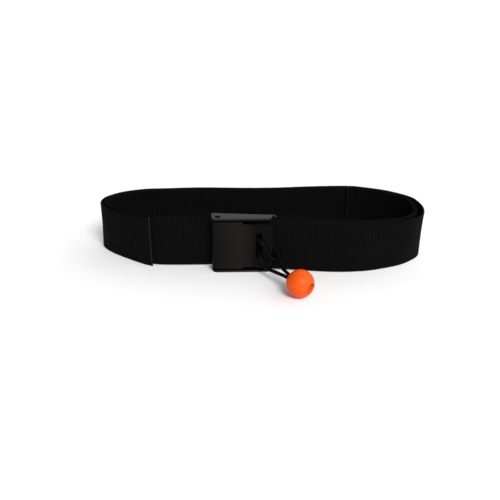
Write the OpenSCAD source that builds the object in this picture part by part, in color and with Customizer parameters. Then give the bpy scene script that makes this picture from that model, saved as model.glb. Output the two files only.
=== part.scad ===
// Dive weight belt: a loop of webbing closed by a stamped cam-lever buckle,
// with a pull ball on a cord loop. Millimetres, +Z up, the buckle faces -Y.

/* [Webbing] */
// Width of the webbing
webbing_w = 48; // [46:0.5:48]
// Thickness of the webbing
webbing_t = 1.8; // [1.4:0.1:1.8]
// Room between the outer layer of webbing and the next one, added to the thickness
ply_gap = 0.4; // [0.3:0.1:0.6]

/* [Buckle] */
// Thickness of the sheet that the base and the lever are stamped from
sheet_t = 1.7; // [1.4:0.1:1.7]
// Clear distance between the two ears of the base
ear_gap = 48.4; // [48.4:0.1:49]
// Diameter of the hinge pin
pin_d = 5; // [4:0.5:5]
// Outer radius of the lever's rolled end about the pin
roll_r = 5.7; // [5.4:0.1:5.7]
// Angle between the shut lever and the base
lever_tilt = 6; // [5:0.5:7]
// How far the free end of the lever flares outward
tip_flare = 1.5; // [0:0.5:2]
// Width of the lever's slot
slot_w = 5.6; // [5:0.2:6]
// Length of the lever's slot
slot_l = 24; // [20:1:24]

/* [Pull ball] */
// Diameter of the ball
ball_d = 24; // [22:1:24]
// Diameter of the cord
cord_d = 3; // [2.5:0.5:3]

/* [Hidden] */

// Base: a channel with its flat back inside the loop and its ears forward.
base_back_y = -38.7;
base_front_y = base_back_y - sheet_t;
base_left_x = -39.8;
ear_right_x = 14.8;
plate_right_x = 18.5;
base_h = ear_gap + 2 * sheet_t;
ear_front = [[-38.2, -54.3], [14.8, -48.0]];
ear_corner_r = 4.5;
foot_corner_r = 3.6;
slot_a_x = [-6.5, -2.7];
slot_b_x = [8.5, 12.3];

// Hinge and lever. The lever is drawn about its pin, along +X, then tilted.
pin_x = -33;
pin_y = -48.3;
pin_r = pin_d / 2;
pin_recess = 0.8;
running_gap = 0.05;
side_gap = 1.6;
roll_inner_r = roll_r - sheet_t;
tooth_r = roll_r + 0.35;
tooth_angle = 64;
tooth_pitch = 4;
lever_l = 48.5;
cheek_l = 22;
flare_l = 15;
blade_inset = 2;
blade_corner_r = 5;
lever_slot_u = 36.6;
lever_slot_z = base_h / 2 + 0.4;

// Strap: where it lies inside the buckle.
skin = 0.2;
half_t = webbing_t / 2;
ply = webbing_t + ply_gap;
strap_lift = (base_h - webbing_w) / 2;
over_y = base_front_y - skin - half_t;
under_y = base_back_y + skin + half_t;
tail_y = over_y - webbing_t - 0.3;
turn_r = half_t + 0.5;
slot_a_mid = (slot_a_x[0] + slot_a_x[1]) / 2;
slot_b_mid = (slot_b_x[0] + slot_b_x[1]) / 2;

// Route of the outermost layer, from the buckle's right side round to its left side:
// x, y, outward lean of the top edge over the bottom edge, distance in to the next layer.
loop_pts = [
    [40, -43.4, 0, 2.3], [75, -41.8, -1, 2.3], [100, -38.6, 2, 2.5], [118, -32.6, 5, 3],
    [134, -25, 8, 3.6], [144.5, -14, 7, 5], [149.8, 0, 1, 6.2], [148, 16, -1, 5.5],
    [140.5, 30, -1, 4], [120, 43.5, 0, 2.8], [97, 51, 0, 2.4], [84, 53, 0, 2.3],
    [60, 50.3, 0, 2.3], [38, 46.4, 0, 2.3], [10, 41, 0, 2.3], [-20, 37.6, 0, 2.3],
    [-60, 34.9, 0, 2.3], [-96, 29, 0, 2.5], [-115, 25.2, 0, 2.6], [-133, 16.8, -1, 3],
    [-145, 5, -2, 3.5], [-149, -4, -3, 3.5], [-145.5, -15, 2, 3.2], [-135, -26, 5, 3.2],
    [-118, -37, 5, 3.2], [-93.5, -46.8, 0.5, 3.6], [-70, -46.2, 1, 2.4], [-50, -44.4, 0, 2.4]
];
loop_last = len(loop_pts) - 1;
tail_end_u = 25;
inner_end_u = 11.1;
steps = 3;
inner_lean = 0.6;

// Ball: its bore runs from the far recess (-) to the side that faces the lever (+).
ball_r = ball_d / 2;
ball_c = [42, -91, ball_r];
ball_turn = 147;
ball_tilt = 10;
bore_r = 3.4;
chamber_r = 4.4;
recess_r = 5.2;
recess_depth = 6;
chamber_depth = 14;
knot_r = 3.8;
knot_at = chamber_depth - ball_r - knot_r - 0.1;
strand_offset = 1.6;
strand_start = knot_at + knot_r - 0.4;

// Cord routes, by hand: two strands from the ball, and the two turns round the lever's end bar.
cord_r = cord_d / 2;
axis_dir = [cos(ball_turn) * cos(ball_tilt), sin(ball_turn) * cos(ball_tilt), sin(ball_tilt)];
side_dir = [-sin(ball_turn), cos(ball_turn), 0];
front_strand = concat(in_bore(strand_offset), [
    [28.4, -81.8, 13.6], [25.2, -77.6, 12.8], [21.2, -71.6, 11.4], [16.4, -64.6, 9.7],
    [12.4, -60, 8.9], [8.9, -56, 9.4], [6.7, -53.4, 12.3], [4.7, -50.93, 16.3]
]);
back_strand = concat(in_bore(-strand_offset), [
    [31.4, -79.2, 14.3], [28.4, -73.4, 14.2], [25.6, -67.4, 14.2], [23.2, -61, 15.7],
    [21.2, -54.6, 18.4], [19.3, -49.4, 21.2], [15.8, -46.6, 23.7]
]);
hitch_route = [
    [4.7, -50.93, 16.3], [4.35, -49.35, 17.1], [5.16, -47.4, 17], [7.1, -46.6, 16.5],
    [10, -46.55, 15.6], [13, -46.55, 14.9], [15.8, -46.6, 14.6],
    [17.74, -47.4, 14.5], [18.55, -49.35, 14.5], [17.74, -51.3, 14.7],
    [15.8, -52.1, 15.2], [13.8, -52.1, 16.8], [12, -52.1, 19.6], [10.6, -52.1, 22.8],
    [8.9, -52.1, 26.3], [7.1, -52.1, 29.1], [5.16, -51.3, 30.6], [4.35, -49.35, 31],
    [5.16, -47.4, 30.4], [7.1, -46.6, 29.2], [10, -46.55, 27.4], [13, -46.55, 25.5],
    [15.8, -46.6, 23.7]
];

// ---- helper functions ----
function unit(v) = v / norm(v);
function cat_rom(a, b, c, d, t) =
    0.5 * (2 * b + (c - a) * t + (2 * a - 5 * b + 4 * c - d) * t * t
           + (3 * b - a - 3 * c + d) * t * t * t);
function loop_at(u) =
    let (i = max(0, min(floor(u), loop_last - 1)))
    cat_rom(loop_pts[max(i - 1, 0)], loop_pts[i], loop_pts[i + 1],
            loop_pts[min(i + 2, loop_last)], u - i);
function in_bore(offset) =
    [for (d = [strand_start, 6, 12]) ball_c + axis_dir * d + side_dir * offset];
function inward(u) =
    let (d = loop_at(u + 0.01) - loop_at(u - 0.01))
    unit([-d[1], d[0]]);
function lift_at(x, y, reach) =
    y > -25 ? 0 : strap_lift * max(0, min(1, (reach - abs(x + 10)) / (reach - 35)));

// One station of the strap: x, y, lean of the top edge to the right of travel, lift.
function tail_at(u) =
    let (p = loop_at(u))
    [p[0], p[1], p[2], lift_at(p[0], p[1], 75)];
function layer_at(u, depth) =
    let (p = loop_at(u), n = inward(u), off = p[3] + ply * depth,
         x = p[0] + n[0] * off, y = p[1] + n[1] * off)
    [x, y, p[2] * inner_lean * (depth > 0 ? -1 : 1), lift_at(x, y, 110)];
function flat_pts(pts) = [for (p = pts) [p[0], p[1], 0, strap_lift]];
function turn(cx, cy, a0, a1) =
    [for (k = [0:4]) let (a = a0 + (a1 - a0) * k / 4)
        [cx + turn_r * cos(a), cy + turn_r * sin(a), 0, strap_lift]];

// The strap from its inner end, round the base's bar, round the loop, through
// the buckle and round the loop again to its outer end.
strap_route = concat(
    [for (k = [0:floor(inner_end_u * steps)]) layer_at(inner_end_u - k / steps, 1)],
    flat_pts([[31, under_y - 0.8 + ply], [23, under_y + ply - 0.3], [15, under_y + ply]]),
    turn(slot_a_mid + turn_r, under_y + ply - turn_r, 90, 180),
    turn(slot_a_mid + turn_r, over_y + turn_r, 180, 270),
    turn(slot_b_mid - turn_r, over_y + turn_r, 270, 360),
    turn(slot_b_mid + turn_r, under_y - turn_r, 180, 90),
    flat_pts([[19.8, under_y], [25, under_y - 1.5], [31, under_y - 3]]),
    [for (k = [0:loop_last * steps]) layer_at(k / steps, 0)],
    flat_pts([[-43, over_y - 0.1], [-33, over_y], [-20, over_y - 0.1], [-12, over_y - 1.1],
              [-6, tail_y], [8, tail_y], [25, tail_y]]),
    [for (k = [0:tail_end_u * steps]) tail_at(k / steps)]
);

// ---- swept solids ----
function rib_quads(n, m) = concat(
    [[for (j = [0:m - 1]) j]],
    [for (i = [0:n - 2], j = [0:m - 1])
        [i * m + j, (i + 1) * m + j, (i + 1) * m + (j + 1) % m, i * m + (j + 1) % m]],
    [[for (j = [m - 1:-1:0]) (n - 1) * m + j]]
);

module ribbon(route) {
    n = len(route);
    points = [for (i = [0:n - 1])
        let (p = route[i], d = route[min(i + 1, n - 1)] - route[max(i - 1, 0)],
             r = unit([d[1], -d[0]]), lean = r * p[2] / 2)
        each [
            [p[0] + r[0] * half_t - lean[0], p[1] + r[1] * half_t - lean[1], p[3]],
            [p[0] - r[0] * half_t - lean[0], p[1] - r[1] * half_t - lean[1], p[3]],
            [p[0] - r[0] * half_t + lean[0], p[1] - r[1] * half_t + lean[1], p[3] + webbing_w],
            [p[0] + r[0] * half_t + lean[0], p[1] + r[1] * half_t + lean[1], p[3] + webbing_w]
        ]];
    polyhedron(points, rib_quads(n, 4), convexity = 10);
}

module tube(route, r) {
    n = len(route);
    sides = 8;
    points = [for (i = [0:n - 1])
        let (d = unit(route[min(i + 1, n - 1)] - route[max(i - 1, 0)]),
             e = unit(cross(d, [0, 0, 1])), f = cross(e, d))
        each [for (j = [0:sides - 1]) let (a = -360 * j / sides)
            route[i] + (e * cos(a) + f * sin(a)) * r]];
    polyhedron(points, rib_quads(n, sides), convexity = 6);
}

// ---- profiles ----
function arc(cx, cy, r, a0, a1, n = 8) =
    [for (k = [0:n]) let (a = a0 + (a1 - a0) * k / n) [cx + r * cos(a), cy + r * sin(a)]];

module ear_profile() {
    left = ear_front[0];
    right = ear_front[1];
    r = ear_corner_r;
    polygon(concat(
        [[base_left_x, base_back_y]],
        arc(left[0] + r, left[1] + r + 0.6, r, 180, 270),
        arc(right[0] - r, right[1] + r - 0.4, r, 270, 360),
        [[ear_right_x, base_back_y]]
    ));
}

// The lever's rolled end, from the face round the pin to the foot of the toothed lip.
function roll_arc() = arc(0, 0, roll_r, 270, tooth_angle + 12, 26);

// The lever seen from above: rolled end, straight blade, flared free end.
module lever_profile() {
    bend_u = lever_l - flare_l;
    half_u = lever_l - 6;
    half_flare = tip_flare * 0.45;
    polygon(concat(
        roll_arc(),
        [[tooth_r * cos(tooth_angle), tooth_r * sin(tooth_angle)]],
        arc(0, 0, roll_inner_r, tooth_angle, 270, 26),
        [[bend_u, -roll_inner_r], [half_u, -roll_inner_r - half_flare],
         [lever_l, -roll_inner_r - tip_flare], [lever_l, -roll_r - tip_flare],
         [half_u, -roll_r - half_flare], [bend_u, -roll_r]]
    ));
}

module cheek() {
    linear_extrude(sheet_t) difference() {
        polygon(concat(roll_arc(), [[4.5, 3.2], [cheek_l, -roll_inner_r], [cheek_l, -roll_r]]));
        circle(r = pin_r + running_gap, $fn = 96);
    }
}

// What is cut from a square corner to leave it round, with the corner at the origin.
module corner_cut(r) {
    difference() {
        translate([-r, -r]) square(r + 1);
        translate([-r, -r]) circle(r = r, $fn = 64);
    }
}

// ---- parts ----
module webbing_strap() {
    color("black") ribbon(strap_route);
}

module base_slot(span) {
    translate([span[0], base_front_y - 1, sheet_t])
        cube([span[1] - span[0], sheet_t + 2, ear_gap]);
}

module buckle_base() {
    color("dimgray") difference() {
        union() {
            translate([base_left_x, base_front_y, 0])
                cube([ear_right_x - base_left_x, sheet_t, base_h]);
            translate([0, base_back_y, 0]) rotate([90, 0, 0]) linear_extrude(sheet_t)
                polygon(concat(
                    [[ear_right_x - 1, 0]],
                    arc(plate_right_x - foot_corner_r, foot_corner_r, foot_corner_r, 270, 360),
                    arc(plate_right_x - foot_corner_r, base_h - foot_corner_r, foot_corner_r, 0, 90),
                    [[ear_right_x - 1, base_h]]
                ));
            linear_extrude(sheet_t) ear_profile();
            translate([0, 0, base_h - sheet_t]) linear_extrude(sheet_t) ear_profile();
        }
        base_slot(slot_a_x);
        base_slot(slot_b_x);
        translate([pin_x, pin_y, -1]) cylinder(r = pin_r, h = base_h + 2, $fn = 96);
    }
}

// Notches across the toothed lip, which leave one tooth between each two.
module tooth_notches(low, high) {
    count = floor((high - low) / tooth_pitch);
    start = (low + high - count * tooth_pitch) / 2;
    for (k = [0:count])
        translate([0, 0, start + k * tooth_pitch])
            rotate([0, 0, tooth_angle]) rotate([0, 90, 0]) rotate([0, 0, 45])
                translate([-0.9, -0.9, roll_r - 0.7]) cube([1.8, 1.8, 3]);
}

module lever_slot() {
    ends = (slot_l - slot_w) / 2;
    translate([lever_slot_u, 0, lever_slot_z]) {
        for (z = [-ends, ends])
            translate([0, 0, z]) rotate([90, 0, 0]) cylinder(r = slot_w / 2, h = 20, $fn = 64);
        translate([-slot_w / 2, -20, -ends]) cube([slot_w, 20, 2 * ends]);
    }
}

module buckle_lever() {
    low = sheet_t + side_gap;
    high = base_h - low;
    color("dimgray") translate([pin_x, pin_y, 0]) rotate([0, 0, lever_tilt]) difference() {
        union() {
            translate([0, 0, low]) linear_extrude(high - low) lever_profile();
            translate([0, 0, low]) cheek();
            translate([0, 0, high - sheet_t]) cheek();
        }
        translate([cheek_l, -20, low - 1]) cube([lever_l, 20, 1 + blade_inset]);
        translate([cheek_l, -20, high - blade_inset]) cube([lever_l, 20, 1 + blade_inset]);
        translate([lever_l, 0, high - blade_inset]) rotate([90, 0, 0])
            linear_extrude(20) corner_cut(blade_corner_r);
        translate([lever_l, 0, low + blade_inset]) rotate([90, 0, 0])
            linear_extrude(20) mirror([0, 1]) corner_cut(blade_corner_r);
        tooth_notches(low + sheet_t, high - sheet_t);
        lever_slot();
    }
}

module hinge_pin() {
    color("gray") translate([pin_x, pin_y, pin_recess])
        cylinder(r = pin_r, h = base_h - 2 * pin_recess, $fn = 96);
}

module pull_cord() {
    color("black") tube(front_strand, cord_r);
    color("black") tube(back_strand, cord_r);
}

module cord_hitch() {
    color("black") tube(hitch_route, cord_r);
}

module along_bore() {
    translate(ball_c) rotate([0, 90 - ball_tilt, ball_turn]) children();
}

module cord_knot() {
    color("black") along_bore() translate([0, 0, knot_at]) sphere(r = knot_r, $fn = 48);
}

module pull_ball() {
    color("orangered") along_bore() difference() {
        sphere(r = ball_r, $fn = 96);
        translate([0, 0, -ball_r - 1]) cylinder(r = recess_r, h = recess_depth + 1, $fn = 96);
        translate([0, 0, -ball_r - 1]) cylinder(r = chamber_r, h = chamber_depth + 1, $fn = 96);
        translate([0, 0, -ball_r - 1]) cylinder(r = bore_r, h = ball_d + 2, $fn = 96);
    }
}

webbing_strap();
buckle_base();
buckle_lever();
hinge_pin();
pull_cord();
cord_hitch();
cord_knot();
pull_ball();
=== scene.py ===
"""The looks of a dive weight belt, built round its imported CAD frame: ribbed webbing, a black
cam-lever buckle, and an orange pull ball on a braided cord. Metres, +Z up, buckle faces -Y."""

import math

import bmesh
import bpy
import numpy as np
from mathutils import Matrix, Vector


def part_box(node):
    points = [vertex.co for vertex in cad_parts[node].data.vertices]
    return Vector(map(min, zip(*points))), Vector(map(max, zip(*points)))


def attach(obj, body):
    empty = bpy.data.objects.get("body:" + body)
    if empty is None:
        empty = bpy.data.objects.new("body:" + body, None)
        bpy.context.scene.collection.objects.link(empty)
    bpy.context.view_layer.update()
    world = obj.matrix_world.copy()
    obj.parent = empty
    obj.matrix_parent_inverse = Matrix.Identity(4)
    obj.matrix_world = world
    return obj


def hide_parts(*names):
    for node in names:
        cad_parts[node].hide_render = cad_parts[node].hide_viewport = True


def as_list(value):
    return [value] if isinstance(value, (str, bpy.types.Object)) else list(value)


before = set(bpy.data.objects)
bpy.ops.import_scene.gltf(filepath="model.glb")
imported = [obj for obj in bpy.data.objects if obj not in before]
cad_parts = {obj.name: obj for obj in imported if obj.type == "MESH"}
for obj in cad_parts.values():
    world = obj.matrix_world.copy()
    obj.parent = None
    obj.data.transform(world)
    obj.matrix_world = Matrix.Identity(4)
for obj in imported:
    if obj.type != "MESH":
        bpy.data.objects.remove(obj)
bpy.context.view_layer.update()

MM = 0.001

# ---- sizes that the CAD part has too ----
WEBBING_W = 0.048
WEBBING_T = 0.0018
SHEET_T = 0.0017
BASE_FRONT_Y = -0.0404
BASE_BACK_Y = -0.0387
EAR_RIGHT_X = 0.0148
PIN_AT = (-0.033, -0.0483)
PIN_R = 0.0025
PIN_RECESS = 0.0008
SIDE_GAP = 0.0016
ROLL_R = 0.0057
CHEEK_L = 0.022
LEVER_TILT = math.radians(6)
BASE_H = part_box("buckle_base")[1].z
BALL_R = 0.012
BALL_C = Vector((0.042, -0.091, BALL_R))
BALL_TURN = math.radians(147)
BALL_TILT = math.radians(10)
BORE_R = 0.0034
CHAMBER_R = 0.0044
CHAMBER_DEPTH = 0.014
RECESS_R = 0.0052
RECESS_DEPTH = 0.006
KNOT_AT = -0.0019
CORD_D = 0.003
STRAND_OFFSET = 0.0016
STRAND_START = 0.0015


# ---- camera ----
CAMERA_AT = (0.05164, -0.6370, 0.2968)
CAMERA_AIM = Vector((-0.00371, -0.0546, 0.024))
SENSOR_MM = 36
LENS_MM = 52.85


def make_camera():
    """The photo's view: from the front and a little to the right, 25 degrees above."""
    cam = bpy.data.objects.new("camera", bpy.data.cameras.new("camera"))
    bpy.context.scene.collection.objects.link(cam)
    cam.location = CAMERA_AT
    cam.rotation_euler = (CAMERA_AIM - cam.location).to_track_quat("-Z", "Y").to_euler()
    cam.data.sensor_width = SENSOR_MM
    cam.data.lens = LENS_MM
    cam.data.clip_start = 0.01
    bpy.context.scene.camera = cam


# ---- curves ----
def smooth_line(points, step, extra=()):
    """(distances along, points) of a smooth line through the points, every step of its length.
    A point of four numbers is a station of the strap, and only its x and y are a place."""
    p = np.array(points, float)
    size = 2 if p.shape[1] == 4 else 3
    h = np.linalg.norm(np.diff(p[:, :size], axis=0), axis=1)
    slope = np.diff(p, axis=0) / h[:, None]
    inner = (slope[:-1] * h[1:, None] + slope[1:] * h[:-1, None]) / (h[:-1] + h[1:])[:, None]
    m = np.vstack([slope[:1], inner, slope[-1:]])
    runs = []
    for i, length in enumerate(h):
        t = np.linspace(0, 1, max(2, math.ceil(3 * length / step)), endpoint=False)[:, None]
        runs.append((2 * t**3 - 3 * t**2 + 1) * p[i] + (t**3 - 2 * t**2 + t) * length * m[i]
                    + (3 * t**2 - 2 * t**3) * p[i + 1] + (t**3 - t**2) * length * m[i + 1])
    line = np.vstack(runs + [p[-1:]])
    lengths = np.linalg.norm(np.diff(line[:, :size], axis=0), axis=1)
    along = np.concatenate([[0], np.cumsum(lengths)])
    at = np.linspace(0, along[-1], round(along[-1] / step) + 1)
    at = np.sort(np.concatenate([at, [along[-1] - e for e in extra], extra]))
    return at, np.stack([np.interp(at, along, line[:, k]) for k in range(p.shape[1])], axis=1)


# ---- mesh helpers ----
def new_piece(name, verts, faces, materials, body, replaces):
    """A mesh piece that rides on a body and takes the given materials."""
    mesh = bpy.data.meshes.new(name)
    mesh.from_pydata([tuple(v) for v in verts], [], [tuple(f) for f in faces])
    mesh.update()
    return finish_piece(name, mesh, materials, body, replaces)


def finish_piece(name, mesh, materials, body, replaces):
    """Puts a mesh in the scene, shaded smooth, on its body and in place of its CAD nodes."""
    for material in materials:
        mesh.materials.append(material)
    mesh.polygons.foreach_set("use_smooth", [True] * len(mesh.polygons))
    piece = bpy.data.objects.new(name, mesh)
    bpy.context.scene.collection.objects.link(piece)
    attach(piece, body)
    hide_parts(*replaces)
    return piece


def ring_faces(rings, sides):
    """Quads between rings of points that follow each other, with a cap at each end."""
    quads = [(i * sides + j, i * sides + (j + 1) % sides,
              (i + 1) * sides + (j + 1) % sides, (i + 1) * sides + j)
             for i in range(rings - 1) for j in range(sides)]
    last = (rings - 1) * sides
    return quads + [tuple(range(sides))[::-1], tuple(last + j for j in range(sides))]


def loop_faces(rings, sides):
    """Quads between rings of points that follow each other round to the first one."""
    return [(i * sides + j, i * sides + (j + 1) % sides,
             (i + 1) % rings * sides + (j + 1) % sides, (i + 1) % rings * sides + j)
            for i in range(rings) for j in range(sides)]


# ---- shader helpers ----
class Nodes:
    """A small way to write a node tree: each call adds a node and returns its output."""

    def __init__(self, name):
        self.material = bpy.data.materials.new(name)
        self.material.use_nodes = True
        self.tree = self.material.node_tree
        self.shader = self.tree.nodes["Principled BSDF"]

    def add(self, kind, output=0, inputs=None, **settings):
        node = self.tree.nodes.new(kind)
        for key, value in settings.items():
            setattr(node, key, value)
        for key, value in (inputs or {}).items():
            if isinstance(value, bpy.types.NodeSocket):
                self.tree.links.new(value, node.inputs[key])
            else:
                node.inputs[key].default_value = value
        return node.outputs[output]

    def math(self, operation, a, b=0.0, c=0.0):
        return self.add("ShaderNodeMath", inputs={0: a, 1: b, 2: c}, operation=operation)

    def noise(self, vector, scale, detail=3.0, roughness=0.6):
        return self.add("ShaderNodeTexNoise", "Fac", {
            "Vector": vector, "Scale": scale, "Detail": detail, "Roughness": roughness})

    def stretched(self, vector, scale):
        return self.add("ShaderNodeMapping", inputs={"Vector": vector, "Scale": scale})

    def ramp(self, fac, low, high, span=(0.0, 1.0)):
        return self.stops(fac, [(span[0], low), (span[1], high)])

    def stops(self, fac, stops):
        """A colour ramp from its (place, colour) stops."""
        node = self.tree.nodes.new("ShaderNodeValToRGB")
        self.tree.links.new(fac, node.inputs["Fac"])
        elements = node.color_ramp.elements
        while len(elements) < len(stops):
            elements.new(1.0)
        for element, (place, colour) in zip(elements, stops):
            element.position = place
            element.color = (*colour, 1.0)
        return node.outputs["Color"]

    def range(self, value, low, high, span=(0.0, 1.0)):
        return self.add("ShaderNodeMapRange", inputs={
            "Value": value, "From Min": span[0], "From Max": span[1],
            "To Min": low, "To Max": high})

    def bump(self, height, strength, distance, normal=None):
        inputs = {"Height": height, "Strength": strength, "Distance": distance}
        if normal is not None:
            inputs["Normal"] = normal
        return self.add("ShaderNodeBump", inputs=inputs)

    def set(self, **values):
        """Sets the shader's own sockets: a number or colour stays on it, an output is linked."""
        for key, value in values.items():
            socket = self.shader.inputs[key.replace("_", " ")]
            if isinstance(value, bpy.types.NodeSocket):
                self.tree.links.new(value, socket)
            else:
                socket.default_value = (*value, 1.0) if isinstance(value, tuple) else value
        return self.material


# ---- materials ----
RIB_PITCH = 0.00266
WARP_PITCH = 0.0012


def webbing_material():
    """Black nylon webbing. Its UV is in millimetres along and across the strap."""
    n = Nodes("webbing_nylon")
    uv = n.add("ShaderNodeUVMap", uv_map="weave")
    split = n.add("ShaderNodeSeparateXYZ", inputs={0: uv}).node
    along, across = split.outputs[0], split.outputs[1]
    yarn = n.math("DIVIDE", across, WARP_PITCH / MM)
    odd = n.math("MODULO", n.math("FLOOR", yarn), 2.0)
    warp = n.math("SINE", n.math("MULTIPLY", yarn, math.pi))
    warp = n.math("POWER", n.math("ABSOLUTE", warp), 0.6)
    rib = n.math("DIVIDE", along, RIB_PITCH / MM)
    pick = n.math("SINE", n.math("MULTIPLY", n.math("ADD", rib, n.math("MULTIPLY", odd, 0.5)),
                                 2 * math.pi))
    groove = n.math("COSINE", n.math("MULTIPLY", rib, 2 * math.pi))
    fibre = n.noise(n.stretched(uv, (0.5, 6.0, 1.0)), 1.0, 4.0, 0.7)
    fibre_fine = n.noise(n.stretched(uv, (1.2, 14.0, 1.0)), 1.0, 3.0, 0.7)
    height = n.math("ADD", n.math("MULTIPLY", warp, 0.6), n.math("MULTIPLY", pick, 0.18))
    height = n.math("ADD", height, n.math("MULTIPLY", fibre, 0.35))
    height = n.math("ADD", height, n.math("MULTIPLY", fibre_fine, 0.2))
    faded = n.noise(n.stretched(uv, (0.03, 0.08, 1.0)), 1.0, 3.0, 0.6)
    # Painted shade: the tone is lighter where the weave stands high and darker in the rib grooves;
    # the faded noise adds a random tone.
    tone = n.math("ADD", n.math("MULTIPLY", height, 0.5), n.math("MULTIPLY", faded, 0.4))
    tone = n.math("SUBTRACT", tone, n.range(groove, 0.0, 0.35, (0.1, 0.9)))
    return n.set(
        Base_Color=n.ramp(tone, (0.0007, 0.0007, 0.0008), (0.0050, 0.0050, 0.0051), (0.1, 0.85)),
        Roughness=n.range(fibre, 0.62, 0.85, (0.3, 0.7)),
        Specular_IOR_Level=0.025,
        Sheen_Weight=0.003,
        Sheen_Roughness=0.4,
        Normal=n.bump(height, 0.55, 0.00022),
    )


def melted_material():
    """The heat-sealed ends of the webbing: the same nylon, melted to a shiny bead."""
    n = Nodes("melted_nylon")
    place = n.add("ShaderNodeTexCoord", "Object")
    lumps = n.noise(place, 900.0, 3.0)
    return n.set(
        Base_Color=n.ramp(lumps, (0.002, 0.002, 0.0022), (0.006, 0.006, 0.0062), (0.35, 0.7)),
        Roughness=n.range(lumps, 0.3, 0.5, (0.3, 0.7)),
        Specular_IOR_Level=0.14,
        Normal=n.bump(lumps, 0.6, 0.0003),
    )


WORN_TINT = (0.014, 0.013, 0.0125, 1.0)
# Painted shade and reflection on the lever's coat: (x, tint) stops from its rolled end to its free
# end, darkest on the rolled end, lighter in the middle of the face, dark again towards the free
# end.
LEVER_PAINTED_SHADE_AND_REFLECTION = [
    (-0.0380, (0.0002, 0.0002, 0.0002)), (-0.0366, (0.0004, 0.0003, 0.0004)),
    (-0.0350, (0.0034, 0.0027, 0.0029)), (-0.0220, (0.0080, 0.0062, 0.0054)),
    (-0.0120, (0.0108, 0.0075, 0.0062)), (-0.0055, (0.0078, 0.0058, 0.0050)),
    (0.0010, (0.0020, 0.0016, 0.0016)), (0.0160, (0.0026, 0.0025, 0.0025)),
]


def buckle_material(name, tint, roughness, specular, painted_light_stops=()):
    """Black oxide coated sheet: fine grain, faint handling marks, edges worn a little lighter.
    A list of (x, tint) stops of painted shade and reflection, which the coat follows along the
    piece."""
    n = Nodes(name)
    place = n.add("ShaderNodeTexCoord", "Object")
    grain = n.noise(place, 4200.0, 2.0, 0.7)
    cloud = n.noise(place, 60.0, 3.0, 0.5)
    scratch = n.noise(n.stretched(place, (90.0, 90.0, 1400.0)), 1.0, 3.0, 0.75)
    marks = n.range(scratch, 0.0, 1.0, (0.62, 0.8))
    edge = n.add("ShaderNodeNewGeometry", "Pointiness")
    worn = n.math("MULTIPLY", n.range(edge, 0.0, 1.0, (0.53, 0.64)),
                  n.range(cloud, 0.3, 1.0, (0.4, 0.65)))
    tone = n.math("ADD", n.math("MULTIPLY", cloud, 0.6), n.math("MULTIPLY", marks, 0.25))
    coat = n.ramp(tone, tuple(0.75 * t for t in tint), tint, (0.2, 0.75))
    if painted_light_stops:
        left, right = painted_light_stops[0][0], painted_light_stops[-1][0]
        x = n.add("ShaderNodeSeparateXYZ", inputs={0: place})
        along = n.range(x, 0.0, 1.0, (left, right))
        # Painted shade and reflection along x, mixed into the coat.
        painted_light_band = n.stops(along, [((at - left) / (right - left), shade) for at, shade in painted_light_stops])
        coat = n.add("ShaderNodeMix", 2, {0: 0.85, 6: coat, 7: painted_light_band}, data_type="RGBA")
    base = n.add("ShaderNodeMix", 2, {0: worn, 6: coat, 7: WORN_TINT}, data_type="RGBA")
    rough = n.math("ADD", n.range(cloud, roughness - 0.03, roughness + 0.03, (0.3, 0.7)),
                   n.math("MULTIPLY", marks, 0.08))
    height = n.math("ADD", grain, n.math("MULTIPLY", marks, -0.6))
    return n.set(
        Base_Color=base,
        Roughness=rough,
        Specular_IOR_Level=specular,
        Normal=n.bump(height, 0.2, 0.00002),
    )


def cord_material():
    """Braided cord cover. The braid is in the mesh; this adds the yarns' filaments."""
    n = Nodes("cord_cover")
    place = n.add("ShaderNodeTexCoord", "Object")
    fibre = n.noise(place, 5200.0, 3.0, 0.7)
    patch = n.noise(place, 700.0, 2.0)
    return n.set(
        Base_Color=n.ramp(patch, (0.0007, 0.0007, 0.0008), (0.0024, 0.0024, 0.0026), (0.3, 0.7)),
        Roughness=n.range(fibre, 0.5, 0.8, (0.3, 0.7)),
        Specular_IOR_Level=0.06,
        Sheen_Weight=0.002,
        Sheen_Roughness=0.4,
        Normal=n.bump(fibre, 0.5, 0.00006),
    )


def ball_material():
    """Glossy moulded orange plastic, with faint flow marks and fine surface ripple."""
    n = Nodes("ball_plastic")
    place = n.add("ShaderNodeTexCoord", "Object")
    flow = n.noise(place, 110.0, 3.0)
    ripple = n.noise(place, 420.0, 2.0)
    specks = n.noise(place, 2600.0, 2.0, 0.7)
    return n.set(
        Base_Color=n.ramp(flow, (0.69, 0.076, 0.0030), (0.75, 0.090, 0.0045), (0.3, 0.7)),
        Roughness=n.range(specks, 0.36, 0.46, (0.3, 0.7)),
        Specular_IOR_Level=0.16,
        Subsurface_Weight=0.05,
        Subsurface_Scale=0.001,
        Normal=n.bump(ripple, 0.12, 0.0002),
    )


# ---- cord ----
BORE_AXIS = Vector((math.cos(BALL_TURN) * math.cos(BALL_TILT),
                    math.sin(BALL_TURN) * math.cos(BALL_TILT), math.sin(BALL_TILT)))
BORE_SIDE = Vector((-math.sin(BALL_TURN), math.cos(BALL_TURN), 0))
BORE_UP = BORE_AXIS.cross(BORE_SIDE)


def along_bore(distance, side=0.0):
    """A point on the ball's bore axis, or beside it, counted from the ball's middle."""
    return tuple(BALL_C + distance * BORE_AXIS + side * BORE_SIDE)


def in_bore(side):
    return [along_bore(d, side) for d in (STRAND_START, 0.006, 0.012)]


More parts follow.
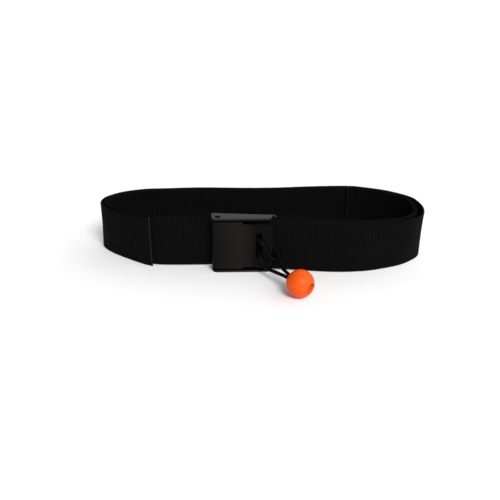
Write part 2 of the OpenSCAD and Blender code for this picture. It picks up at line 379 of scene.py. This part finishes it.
FRONT_STRAND = in_bore(STRAND_OFFSET) + [
    (0.0284, -0.0818, 0.0136), (0.0252, -0.0776, 0.0128), (0.0212, -0.0716, 0.0114),
    (0.0164, -0.0646, 0.0097), (0.0124, -0.0600, 0.0089), (0.0089, -0.0560, 0.0094),
    (0.0067, -0.0534, 0.0123), (0.0047, -0.05093, 0.0163),
]
BACK_STRAND = in_bore(-STRAND_OFFSET) + [
    (0.0314, -0.0792, 0.0143), (0.0284, -0.0734, 0.0142), (0.0256, -0.0674, 0.0142),
    (0.0232, -0.0610, 0.0157), (0.0212, -0.0546, 0.0184), (0.0193, -0.0494, 0.0212),
    (0.0158, -0.0466, 0.0237),
]
ROUND_BAR = [
    (0.00435, -0.04935, 0.0171), (0.00516, -0.0474, 0.0170), (0.0071, -0.0466, 0.0165),
    (0.0100, -0.04655, 0.0156), (0.0130, -0.04655, 0.0149), (0.0158, -0.0466, 0.0146),
    (0.01774, -0.0474, 0.0145), (0.01855, -0.04935, 0.0145), (0.01774, -0.0513, 0.0147),
    (0.0158, -0.0521, 0.0152), (0.0138, -0.0521, 0.0168), (0.0120, -0.0521, 0.0196),
    (0.0106, -0.0521, 0.0228), (0.0089, -0.0521, 0.0263), (0.0071, -0.0521, 0.0291),
    (0.00516, -0.0513, 0.0306), (0.00435, -0.04935, 0.0310), (0.00516, -0.0474, 0.0304),
    (0.0071, -0.0466, 0.0292), (0.0100, -0.04655, 0.0274), (0.0130, -0.04655, 0.0255),
]
CORD_SIDES = 32
KNOT_SIDES = 20
KNOT_POINTS = 240
CORD_STEP = 0.0002
BRAID_CARRIERS = 16
BRAID_LENGTH = 0.0056
BRAID_DEPTH = 0.00014


def braid_rings(line, ahead, away, distances, radius, depth, sides):
    """Rings of points round a line, with the crossing yarns of a braided cover raised on them.
    Ahead is the line's direction at each point, and away is any direction across it."""
    ahead = ahead / np.linalg.norm(ahead, axis=1)[:, None]
    level = np.cross(ahead, away)
    level /= np.linalg.norm(level, axis=1)[:, None]
    upright = np.cross(level, ahead)
    turn = 2 * math.pi * np.arange(sides) / sides
    verts = []
    for p, e, f, s in zip(line, level, upright, distances):
        twist = 2 * math.pi * s / BRAID_LENGTH
        one = np.sin(BRAID_CARRIERS / 4 * (turn + twist))
        other = np.sin(BRAID_CARRIERS / 4 * (turn - twist))
        r = radius - depth * (1 - np.sqrt(np.abs(one * other)))
        verts.extend(p + r[:, None] * (np.cos(turn)[:, None] * e + np.sin(turn)[:, None] * f))
    return verts


def braided_tube(name, line, distances, material, replaces):
    """A length of the cord along the line, closed at both ends."""
    verts = braid_rings(line, np.gradient(line, axis=0), [0.0, 0.0, 1.0], distances,
                        (CORD_D + BRAID_DEPTH) / 2, BRAID_DEPTH, CORD_SIDES)
    return new_piece(name, verts, ring_faces(len(line), CORD_SIDES), [material],
                     "lever", replaces)


def make_cord(material):
    """The cord from the knot, twice round the lever's end bar and back, in three lengths."""
    whole = FRONT_STRAND + ROUND_BAR + BACK_STRAND[::-1]
    at, line = smooth_line(whole, CORD_STEP)
    first = int(np.linalg.norm(line - np.array(FRONT_STRAND[-1]), axis=1).argmin())
    last = int(np.linalg.norm(line - np.array(BACK_STRAND[-1]), axis=1).argmin())
    front = braided_tube("cord_front", line[:first + 1], at[:first + 1], material, ["pull_cord"])
    braided_tube("cord_round_bar", line[first:last + 1], at[first:last + 1], material,
                 ["cord_hitch"])
    back = braided_tube("cord_back", line[last:], at[last:], material, ["pull_cord"])
    return (front, line[:first + 1][::-1], at[first]), (back, line[last:], at[-1] - at[last])


def make_knot(material):
    """The stopper knot inside the ball: one tight overhand knot of the same cord."""
    turn_r, lobe, pulled_r = 0.0020, 0.00085, 0.00115
    t = np.linspace(0, 2 * math.pi, KNOT_POINTS + 1)[:-1]
    ring = turn_r + lobe * np.cos(3 * t)
    flat = np.stack([ring * np.cos(2 * t), ring * np.sin(2 * t), lobe * np.sin(3 * t)], axis=1)
    axis, side, up = (np.array(v) for v in (BORE_AXIS, BORE_SIDE, BORE_UP))
    centre = np.array(along_bore(KNOT_AT))
    line = centre + flat[:, :1] * side + flat[:, 1:2] * up + flat[:, 2:] * axis
    ahead = np.roll(line, -1, axis=0) - np.roll(line, 1, axis=0)
    lengths = np.linalg.norm(np.roll(line, -1, axis=0) - line, axis=1)
    at = np.concatenate([[0], np.cumsum(lengths)[:-1]])
    verts = braid_rings(line, ahead, line - centre, at, pulled_r, 0.6 * BRAID_DEPTH, KNOT_SIDES)
    return new_piece("stopper_knot", verts, loop_faces(len(line), KNOT_SIDES), [material],
                     "lever", ["cord_knot"])


# ---- pull ball ----
def lathe(name, profile, place, material, body, replaces, sides=128):
    """A closed ring of (radius, distance along the axis) points turned round an axis."""
    turn = 2 * math.pi * np.arange(sides) / sides
    verts = [place(r * math.cos(t), r * math.sin(t), z) for r, z in profile for t in turn]
    return new_piece(name, verts, loop_faces(len(profile), sides), [material], body,
                     replaces)


def rounded(corners, radius_of, steps=5):
    """The corners of an open outline, each rounded off with its own radius."""
    points = [corners[0]]
    for a, b, c, r in zip(corners, corners[1:], corners[2:], radius_of[1:-1]):
        a, b, c = Vector(a), Vector(b), Vector(c)
        start = b + (a - b).normalized() * r
        end = b + (c - b).normalized() * r
        for k in range(steps + 1):
            t = k / steps
            points.append(tuple((1 - t) ** 2 * start + 2 * t * (1 - t) * b + t * t * end))
    return points + [corners[-1]]


def make_ball(material):
    """The ball, with its bore, the wider chamber for the knot, and the round recess."""
    half = math.asin(BORE_R / BALL_R)
    far = math.pi - math.asin(RECESS_R / BALL_R)
    lip = 0.07
    dome = [(BALL_R * math.sin(t), BALL_R * math.cos(t))
            for t in np.linspace(half + lip, far - lip, 72)]
    near_z = BALL_R * math.cos(half)
    far_z = BALL_R * math.cos(far)
    inside = rounded(
        [dome[-1], (RECESS_R, far_z), (RECESS_R, -BALL_R + RECESS_DEPTH),
         (CHAMBER_R, -BALL_R + RECESS_DEPTH), (CHAMBER_R, -BALL_R + CHAMBER_DEPTH),
         (BORE_R, -BALL_R + CHAMBER_DEPTH), (BORE_R, near_z), dome[0]],
        [0, 0.0007, 0.0004, 0.0003, 0.0004, 0.0003, 0.0006, 0])

    def place(x, y, z):
        return BALL_C + BORE_SIDE * x + BORE_UP * y + BORE_AXIS * z

    return lathe("pull_ball_shell", dome + inside[1:-1], place, material, "ball",
                 ["pull_ball"])


# ---- buckle ----
CELL = 0.002
NEAR = 2e-5
TEETH_Y = -0.0446
TUMBLED_R = 0.0003
CHEEK_BEND_R = 0.0009
BASE_BEND_OUTER_R = 0.0016
BASE_BEND_INNER_R = 0.0005
SHARP_ANGLE = math.radians(28)
CREASE_ANGLE = math.radians(40)


def clean_copy(node):
    """A bmesh copy of a CAD node with its flat triangles joined into whole faces."""
    bm = bmesh.new()
    bm.from_mesh(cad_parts[node].data)
    bmesh.ops.remove_doubles(bm, verts=bm.verts, dist=1e-6)
    bmesh.ops.dissolve_limit(bm, angle_limit=math.radians(0.5), verts=bm.verts, edges=bm.edges)
    return bm


def bend_edges(bm, z):
    """The lever's outer edges at this z, where a cheek meets the blade and the rolled end."""
    outward = Vector((math.sin(LEVER_TILT), -math.cos(LEVER_TILT)))
    along = Vector((math.cos(LEVER_TILT), math.sin(LEVER_TILT)))

    def outer(v):
        place = Vector((v.co.x - PIN_AT[0], v.co.y - PIN_AT[1]))
        ahead = place.dot(along)
        reach = place.length if ahead < 0 else place.dot(outward)
        return (abs(v.co.z - z) < NEAR and ahead < CHEEK_L + NEAR
                and abs(reach - ROLL_R) < 3 * NEAR)

    return [e for e in bm.edges if all(outer(v) for v in e.verts)]


def edges_along_x(bm, y, z, reach=1.0):
    """The edges that run along X at this y and z, with both ends left of reach."""
    return [e for e in bm.edges
            if all(abs(v.co.y - y) < NEAR and abs(v.co.z - z) < NEAR and v.co.x < reach + NEAR
                   for v in e.verts)]


def round_edges(bm, edges, radius, segments):
    bmesh.ops.bevel(bm, geom=edges, offset=radius, segments=segments, profile=0.5, affect="EDGES")


def soften(bm, keep=None):
    """Rounds the sharp edges, as tumbling does, and cuts the faces into cells for even shading.
    An edge is left as it is when keep is true for both of its ends."""
    sharp = [e for e in bm.edges if len(e.link_faces) == 2
             and e.calc_face_angle() > SHARP_ANGLE
             and not (keep and all(keep(v.co) for v in e.verts))]
    bmesh.ops.bevel(bm, geom=sharp, offset=TUMBLED_R, segments=3, profile=0.5, affect="EDGES",
                    clamp_overlap=False)
    for axis in (Vector((1, 0, 0)), Vector((0, 0, 1))):
        reach = [v.co.dot(axis) for v in bm.verts]
        for place in np.arange(min(reach) + CELL, max(reach), CELL):
            bmesh.ops.bisect_plane(bm, geom=bm.verts[:] + bm.edges[:] + bm.faces[:], dist=1e-7,
                                   plane_co=axis * place, plane_no=axis)
    for edge in bm.edges:
        edge.smooth = len(edge.link_faces) == 2 and edge.calc_face_angle() < CREASE_ANGLE


def buckle_piece(name, node, bm, material, body):
    """The finished bmesh as a piece that replaces its CAD node."""
    mesh = bpy.data.meshes.new(name)
    bm.to_mesh(mesh)
    bm.free()
    piece = finish_piece(name, mesh, [material], body, [node])
    normals = piece.modifiers.new("even_normals", "WEIGHTED_NORMAL")
    normals.keep_sharp = True
    return piece


def make_base(material):
    """The base channel, with the bend between its back and each ear."""
    bm = clean_copy("buckle_base")
    for z in (0.0, BASE_H):
        round_edges(bm, edges_along_x(bm, BASE_BACK_Y, z), BASE_BEND_OUTER_R, 5)
    for z in (SHEET_T, BASE_H - SHEET_T):
        round_edges(bm, edges_along_x(bm, BASE_FRONT_Y, z, EAR_RIGHT_X), BASE_BEND_INNER_R, 3)
    soften(bm)
    return buckle_piece("buckle_frame", "buckle_base", bm, material, "root")


def make_lever(material):
    """The lever, with the rolled end, cheeks, cord slot and flared free end."""
    bm = clean_copy("buckle_lever")
    for z in (SHEET_T + SIDE_GAP, BASE_H - SHEET_T - SIDE_GAP):
        round_edges(bm, bend_edges(bm, z), CHEEK_BEND_R, 4)
    soften(bm, lambda place: place.y > TEETH_Y)
    return buckle_piece("lever_plate", "buckle_lever", bm, material, "lever")


def make_pin(material):
    """The hinge pin, with a chamfer and a faint dome on each end, sunk in the ears."""
    high = BASE_H - PIN_RECESS
    half = rounded([(0.0002, high), (0.0012, high - 0.00005), (PIN_R, high - 0.0002),
                    (PIN_R, BASE_H / 2)],
                   [0, 0.0003, 0.0003, 0], 4)
    mirrored = [(r, BASE_H - z) for r, z in half[::-1]]

    def place(x, y, z):
        return Vector((PIN_AT[0] + x, PIN_AT[1] + y, z))

    return lathe("hinge_pin_steel", half + mirrored[1:], place, material, "root",
                 ["hinge_pin"], sides=64)


# ---- strap ----
LOOP = [
    (0.0400, -0.0434, 0.0000, 0.0023), (0.0750, -0.0418, -0.0010, 0.0023),
    (0.1000, -0.0386, 0.0020, 0.0025), (0.1180, -0.0326, 0.0050, 0.0030),
    (0.1340, -0.0250, 0.0080, 0.0036), (0.1445, -0.0140, 0.0070, 0.0050),
    (0.1498, 0.0000, 0.0010, 0.0062), (0.1480, 0.0160, -0.0010, 0.0055),
    (0.1405, 0.0300, -0.0010, 0.0040), (0.1200, 0.0435, 0.0000, 0.0028),
    (0.0970, 0.0510, 0.0000, 0.0024), (0.0840, 0.0530, 0.0000, 0.0023),
    (0.0600, 0.0503, 0.0000, 0.0023), (0.0380, 0.0464, 0.0000, 0.0023),
    (0.0100, 0.0410, 0.0000, 0.0023), (-0.0200, 0.0376, 0.0000, 0.0023),
    (-0.0600, 0.0349, 0.0000, 0.0023), (-0.0960, 0.0290, 0.0000, 0.0025),
    (-0.1150, 0.0252, 0.0000, 0.0026), (-0.1330, 0.0168, -0.0010, 0.0030),
    (-0.1450, 0.0050, -0.0020, 0.0035), (-0.1490, -0.0040, -0.0030, 0.0035),
    (-0.1455, -0.0150, 0.0020, 0.0032), (-0.1350, -0.0260, 0.0050, 0.0032),
    (-0.1180, -0.0370, 0.0050, 0.0032), (-0.0935, -0.0468, 0.0005, 0.0036),
    (-0.0700, -0.0462, 0.0010, 0.0024), (-0.0500, -0.0444, 0.0000, 0.0024),
]
LOOP_LAST = len(LOOP) - 1
TAIL_END_U = 25
INNER_END_U = 11.1
LOOP_STEPS = 3
INNER_LEAN = 0.6
PLY = WEBBING_T + 0.0004
STRAP_LIFT = (BASE_H - WEBBING_W) / 2
SKIN = 0.0002
OVER_Y = BASE_FRONT_Y - SKIN - WEBBING_T / 2
UNDER_Y = BASE_BACK_Y + SKIN + WEBBING_T / 2
TAIL_Y = OVER_Y - WEBBING_T - 0.0003
TURN_R = WEBBING_T / 2 + 0.0005
SLOT_A_MID = -0.0046
SLOT_B_MID = 0.0104

RIB_STEPS = 5
RIB_DEPTH = 0.00032


def loop_at(u):
    """The point of the outermost layer at u, counted in the points of LOOP."""
    i = max(0, min(math.floor(u), LOOP_LAST - 1))
    a, b, c, d = (np.array(LOOP[max(0, min(k, LOOP_LAST))]) for k in range(i - 1, i + 3))
    t = u - i
    return 0.5 * (2 * b + (c - a) * t + (2 * a - 5 * b + 4 * c - d) * t * t
                  + (3 * b - a - 3 * c + d) * t**3)


def lift_at(x, y, reach):
    """How high the strap's lower edge is: lifted to the buckle's middle at the buckle."""
    share = (reach - abs(x + 0.010)) / (reach - 0.035)
    return 0.0 if y > -0.025 else STRAP_LIFT * max(0.0, min(1.0, share))


def tail_at(u):
    x, y, lean, _ = loop_at(u)
    return (x, y, lean, lift_at(x, y, 0.075))


def layer_at(u, depth):
    """A station of the main layer, depth 0, or of the inner leftover, depth 1."""
    p = loop_at(u)
    ahead = loop_at(u + 0.01) - loop_at(u - 0.01)
    inward = np.array([-ahead[1], ahead[0]]) / math.hypot(ahead[0], ahead[1])
    x, y = p[:2] + inward * (p[3] + PLY * depth)
    return (x, y, p[2] * INNER_LEAN * (-1 if depth else 1), lift_at(x, y, 0.110))


def flat_run(*points):
    return [(x, y, 0.0, STRAP_LIFT) for x, y in points]


def strap_turn(x, y, start, end):
    angles = [math.radians(start + (end - start) * k / 4) for k in range(5)]
    return flat_run(*[(x + TURN_R * math.cos(a), y + TURN_R * math.sin(a)) for a in angles])


def strap_route():
    """Stations of the strap, from its inner end to its outer end: x, y, lean and lift."""
    inner = [layer_at(INNER_END_U - k / LOOP_STEPS, 1)
             for k in range(math.floor(INNER_END_U * LOOP_STEPS) + 1)]
    main = [layer_at(k / LOOP_STEPS, 0) for k in range(LOOP_LAST * LOOP_STEPS + 1)]
    tail = [tail_at(k / LOOP_STEPS) for k in range(TAIL_END_U * LOOP_STEPS + 1)]
    return (
        inner
        + flat_run((0.031, UNDER_Y - 0.0008 + PLY), (0.023, UNDER_Y + PLY - 0.0003),
                   (0.015, UNDER_Y + PLY))
        + strap_turn(SLOT_A_MID + TURN_R, UNDER_Y + PLY - TURN_R, 90, 180)
        + strap_turn(SLOT_A_MID + TURN_R, OVER_Y + TURN_R, 180, 270)
        + strap_turn(SLOT_B_MID - TURN_R, OVER_Y + TURN_R, 270, 360)
        + strap_turn(SLOT_B_MID + TURN_R, UNDER_Y - TURN_R, 180, 90)
        + flat_run((0.0198, UNDER_Y), (0.025, UNDER_Y - 0.0015), (0.031, UNDER_Y - 0.003))
        + main
        + flat_run((-0.043, OVER_Y - 0.0001), (-0.033, OVER_Y), (-0.020, OVER_Y - 0.0001),
                   (-0.012, OVER_Y - 0.0011), (-0.006, TAIL_Y), (0.008, TAIL_Y), (0.025, TAIL_Y))
        + tail
    )


def strap_section():
    """One cross-section of the webbing: (across, out) from its middle, going round."""
    half_w, half_t = WEBBING_W / 2, WEBBING_T / 2
    edge = [(half_w - 0.0013, 1.0), (half_w - 0.0006, 0.86), (half_w - 0.00015, 0.5), (half_w, 0.0)]
    face = [(half_w * k, 1.0) for k in (-0.75, -0.5, -0.25, 0.0, 0.25, 0.5, 0.75)]
    upper = [(-w, h) for w, h in edge[::-1]] + face + edge
    return [(w, h * half_t) for w, h in upper] + [(w, -h * half_t) for w, h in upper[-2:0:-1]]


def make_strap(webbing, melted):
    """The whole strap as one ribbon: cross ribs in the mesh, a melted bead at each end."""
    bead = 0.0012
    extra = [bead * k for k in (0.06, 0.2, 0.45, 0.7, 1.0)]
    at, line = smooth_line(strap_route(), RIB_PITCH / RIB_STEPS, extra)
    to_end = np.minimum(at, at[-1] - at)
    groove = (0.5 + 0.5 * np.cos(2 * math.pi * at / RIB_PITCH)) ** 2
    groove *= np.clip((to_end - bead) / bead, 0, 1)
    cut = np.clip(1 - to_end / bead, 0, 1)
    swell = np.where(cut > 0, np.sqrt(np.maximum(0.02, 1 - cut**2)) * (1 + 0.35 * (cut > 0)), 1.0)
    travel = np.gradient(line[:, :2], axis=0)
    travel /= np.linalg.norm(travel, axis=1)[:, None]
    right = np.stack([travel[:, 1], -travel[:, 0]], axis=1)
    section = np.array(strap_section())
    share = section[:, 0] / WEBBING_W
    outward = section[:, 1] / (WEBBING_T / 2)
    edge_share = np.clip((np.abs(share) - 0.47) / 0.03, 0, 1)
    verts, uvs = [], []
    for (x, y, lean, lift), r, dig, size, s in zip(line, right, groove, swell, at):
        out = section[:, 1] * size - np.sign(outward) * RIB_DEPTH * dig * np.abs(outward)
        across = section[:, 0] - np.sign(share) * edge_share * 0.6 * RIB_DEPTH * dig
        shift = out + lean * share
        z = lift + WEBBING_W / 2 + across
        verts.extend(zip(x + r[0] * shift, y + r[1] * shift, z))
        uvs.append(s)
    sides = len(section)
    faces = ring_faces(len(line), sides)
    strap = new_piece("webbing_belt", verts, faces, [webbing, melted], "root",
                      ["webbing_strap"])
    add_weave_uv(strap.data, np.array(uvs), section, sides)
    is_bead = to_end < bead * 0.99
    rings = [int(f[0]) // sides for f in faces[:-2]]
    index = [int(is_bead[i] and is_bead[min(i + 1, len(line) - 1)]) for i in rings] + [1, 1]
    strap.data.polygons.foreach_set("material_index", index)
    return strap


def add_weave_uv(mesh, along, section, sides):
    """UV in millimetres: along the strap, and round its section from one edge."""
    steps = np.linalg.norm(np.diff(np.vstack([section, section[:1]]), axis=0), axis=1)
    round_it = np.concatenate([[0], np.cumsum(steps)])
    layer = mesh.uv_layers.new(name="weave")
    verts = np.zeros(len(mesh.loops), int)
    mesh.loops.foreach_get("vertex_index", verts)
    ring, side = verts // sides, verts % sides
    uv = np.stack([along[ring], round_it[side]], axis=1)
    first = np.zeros(len(mesh.polygons), int)
    count = np.zeros(len(mesh.polygons), int)
    mesh.polygons.foreach_get("loop_start", first)
    mesh.polygons.foreach_get("loop_total", count)
    for start in first[count == 4]:
        corner = slice(start, start + 4)
        if set(side[corner]) == {0, sides - 1}:
            uv[corner][side[corner] == 0, 1] = round_it[-1]
    layer.data.foreach_set("uv", (uv / MM).astype(np.float32).ravel())


# ---- stage ----
FLOOR_REACH = 40.0
# (low, high, strength at low, strength at high) for the X and the Z of a direction.
TENT_SIDES = (-1.0, 1.0, 0.1, 1.6)
TENT_TOP = (0.78, 0.92, 1.0, 0.2)
KEY_STRENGTH = 2.6
KEY_WIDTH = math.radians(22)
KEY_AIM = Vector((-0.34, 0.645, -0.685))


def make_stage():
    """A plain pale floor."""
    floor_mesh = bpy.data.meshes.new("floor")
    corners = [(x * FLOOR_REACH, y * FLOOR_REACH, 0)
               for x, y in ((-1, -1), (1, -1), (1, 1), (-1, 1))]
    floor_mesh.from_pydata(corners, [], [(0, 1, 2, 3)])
    floor = bpy.data.objects.new("floor", floor_mesh)
    bpy.context.scene.collection.objects.link(floor)
    n = Nodes("pale_floor")
    floor_mesh.materials.append(n.set(Base_Color=(0.88, 0.88, 0.88), Roughness=0.9,
                                      Specular_IOR_Level=0.1))


def make_light():
    """A bright tent with a dark left side and ceiling, and a soft key from the front right."""
    world = bpy.data.worlds.new("studio")
    world.use_nodes = True
    tree = world.node_tree
    coord = tree.nodes.new("ShaderNodeTexCoord")
    split = tree.nodes.new("ShaderNodeSeparateXYZ")
    side = tree.nodes.new("ShaderNodeMapRange")
    tree.links.new(coord.outputs["Generated"], split.inputs[0])
    tree.links.new(split.outputs["X"], side.inputs["Value"])
    top = tree.nodes.new("ShaderNodeMapRange")
    tree.links.new(split.outputs["Z"], top.inputs["Value"])
    both = tree.nodes.new("ShaderNodeMath")
    both.operation = "MULTIPLY"
    for node, values in ((side, TENT_SIDES), (top, TENT_TOP)):
        for key, value in zip(("From Min", "From Max", "To Min", "To Max"), values):
            node.inputs[key].default_value = value
    tree.links.new(side.outputs[0], both.inputs[0])
    tree.links.new(top.outputs[0], both.inputs[1])
    tree.links.new(both.outputs[0], tree.nodes["Background"].inputs["Strength"])
    tree.nodes["Background"].inputs["Color"].default_value = (1.0, 1.0, 1.0, 1.0)
    bpy.context.scene.world = world
    data = bpy.data.lights.new("key", "SUN")
    data.energy = KEY_STRENGTH
    data.angle = KEY_WIDTH
    key = bpy.data.objects.new("key", data)
    bpy.context.scene.collection.objects.link(key)
    key.rotation_euler = KEY_AIM.to_track_quat("-Z", "Y").to_euler()
    bpy.context.scene.view_settings.view_transform = "Standard"


make_camera()
cord_cover = cord_material()
front_cord, back_cord = make_cord(cord_cover)
knot = make_knot(cord_cover)
ball = make_ball(ball_material())
make_base(buckle_material("buckle_coating", (0.0052, 0.0049, 0.0048), 0.34, 0.22))
make_lever(buckle_material("lever_coating", (0.0040, 0.0034, 0.0033), 0.32, 0.05, LEVER_PAINTED_SHADE_AND_REFLECTION))
make_pin(buckle_material("pin_coating", (0.001, 0.001, 0.001), 0.6, 0.03))
make_strap(webbing_material(), melted_material())
make_stage()
make_light()

for (piece, path, length), pieces in ((front_cord, [knot, ball]), (back_cord, [])):
    tuple(path[0])
    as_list(pieces)
